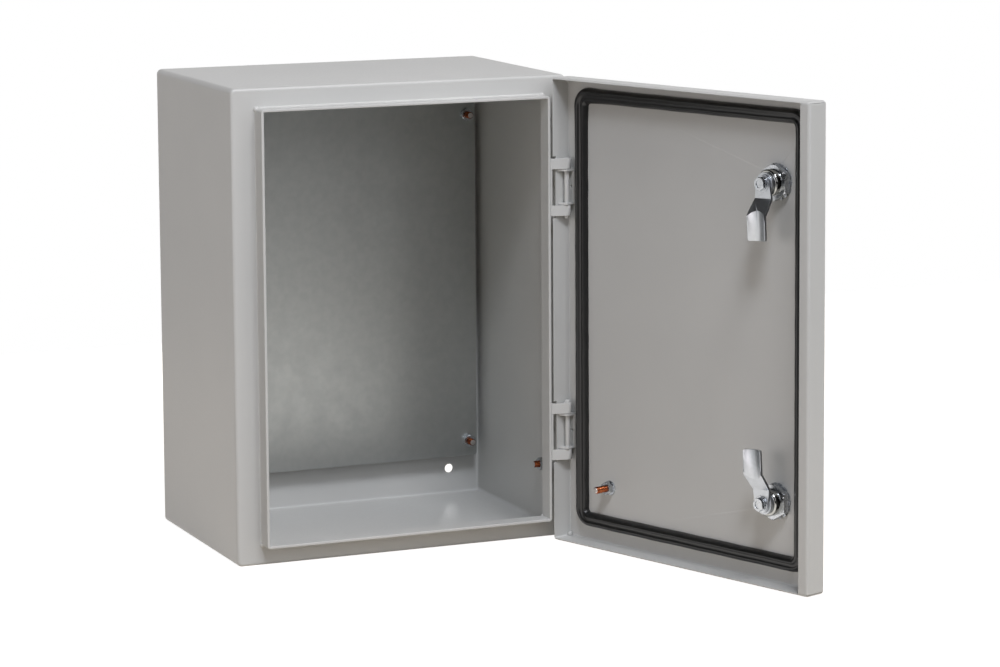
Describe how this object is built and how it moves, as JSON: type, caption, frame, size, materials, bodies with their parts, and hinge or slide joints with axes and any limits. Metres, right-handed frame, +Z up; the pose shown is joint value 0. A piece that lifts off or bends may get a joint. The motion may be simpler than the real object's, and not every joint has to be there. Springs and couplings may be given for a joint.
{
  "type": "electrical enclosure",
  "caption": "Wall-mounting sheet-steel electrical enclosure with a hinged gasketed door, quarter-turn cam locks and an inner mounting plate.",
  "frame": {"origin": "centre of the four wall-fixing holes, on the back's outer face", "axes": "+X right seen from the front, +Y out of the back into the wall, +Z up"},
  "size_m": [0.3975, 0.4954, 0.4],
  "materials": {
    "powder_coat": "light grey powder coat, fine orange peel, semi-gloss",
    "galvanized_sheet": "galvanized, faint spangle",
    "gasket_foam": "foamed bead, satin skin",
    "seal_rubber": "matt",
    "copper_stud": "steel weld stud with a copper coat",
    "zinc_plate": "bright zinc plate",
    "lock_zinc": "zinc die casting, nickel plated"
  },
  "bodies": {
    "enclosure": {"body_earth_nut": "zinc_plate", "body_earth_stud": "copper_stud", "body_earth_washer": "zinc_plate", "body_hinge_bracket_lower": "powder_coat", "body_hinge_bracket_upper": "powder_coat", "enclosure_body": "powder_coat", "mounting_plate": "galvanized_sheet", "plate_nut_1": "zinc_plate", "plate_nut_2": "zinc_plate", "plate_nut_3": "zinc_plate", "plate_nut_4": "zinc_plate", "plate_spacer_1": "zinc_plate", "plate_spacer_2": "zinc_plate", "plate_spacer_3": "zinc_plate", "plate_spacer_4": "zinc_plate", "plate_stud_1": "copper_stud", "plate_stud_2": "copper_stud", "plate_stud_3": "copper_stud", "plate_stud_4": "copper_stud"},
    "door": {"door_earth_nut": "zinc_plate", "door_earth_stud": "copper_stud", "door_earth_washer": "zinc_plate", "door_gasket": "gasket_foam", "door_hinge_bracket_lower": "powder_coat", "door_hinge_bracket_upper": "powder_coat", "door_panel": "powder_coat", "hinge_pin_lower": "powder_coat", "hinge_pin_upper": "powder_coat", "lower_lock_housing": "lock_zinc", "lower_lock_nut": "zinc_plate", "lower_lock_seal": "seal_rubber", "lower_lock_washer": "zinc_plate", "upper_lock_housing": "lock_zinc", "upper_lock_nut": "zinc_plate", "upper_lock_seal": "seal_rubber", "upper_lock_washer": "zinc_plate"},
    "upper_cam": {"upper_cam_core": "lock_zinc", "upper_cam_lever": "zinc_plate", "upper_cam_screw": "zinc_plate", "upper_cam_spring_washer": "zinc_plate", "upper_cam_stop_disc": "zinc_plate", "upper_cam_washer": "zinc_plate"},
    "lower_cam": {"lower_cam_core": "lock_zinc", "lower_cam_lever": "zinc_plate", "lower_cam_screw": "zinc_plate", "lower_cam_spring_washer": "zinc_plate", "lower_cam_stop_disc": "zinc_plate", "lower_cam_washer": "zinc_plate"}
  },
  "joints": [
    {"name": "door_swing", "type": "hinge", "parent": "enclosure", "child": "door", "pos_m": [0.1437, -0.2158, 0], "axis": [0, 0, 1], "range_deg": [-109.4, 0]},
    {"name": "upper_cam_turn", "type": "hinge", "parent": "door", "child": "upper_cam", "pos_m": [0.23135, -0.4415, 0.1305], "axis": [-0.9432, -0.3322, 0], "range_deg": [0, 87.2]},
    {"name": "lower_cam_turn", "type": "hinge", "parent": "door", "child": "lower_cam", "pos_m": [0.23135, -0.4415, -0.1305], "axis": [-0.9432, -0.3322, 0], "range_deg": [-93.5, 0]}
  ]
}
